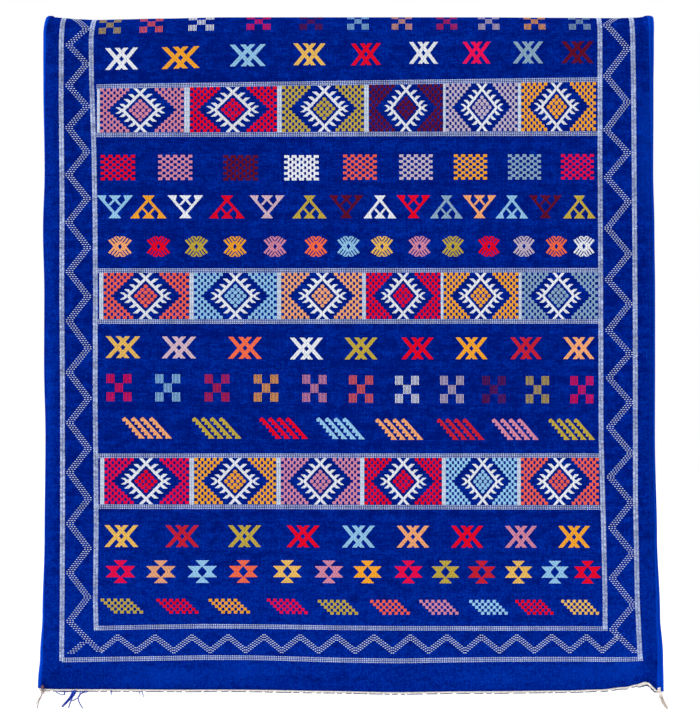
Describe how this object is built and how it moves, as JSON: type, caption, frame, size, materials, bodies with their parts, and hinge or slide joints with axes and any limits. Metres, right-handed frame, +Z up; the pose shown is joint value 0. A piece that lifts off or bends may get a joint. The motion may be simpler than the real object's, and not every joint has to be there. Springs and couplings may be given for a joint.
{
  "type": "handwoven blanket",
  "caption": "Handwoven wool blanket hung over a bar, right side out, with twined warp ends along both hems, knotted corner tails and a tuft of loose yarn.",
  "frame": {"origin": "on the underside of the cloth at the top of the fold, midway across, where the blanket bears on what carries it", "axes": "+Z up, X along the fold, the long front leg of the blanket faces -Y and the short back leg +Y"},
  "size_m": [1.5198, 0.1163, 1.6752],
  "materials": {
    "wool": "matt hand-spun wool, weft-faced weave in royal blue with brocaded motifs in many dyes",
    "warp": "undyed cream warp yarn, twined and knotted"
  },
  "bodies": {
    "root": {"blanket": "wool", "front_braid": "warp", "back_braid": "warp", "left_corner_tail": "warp", "right_corner_tail": "warp", "loose_yarn": "wool"}
  },
  "joints": []
}
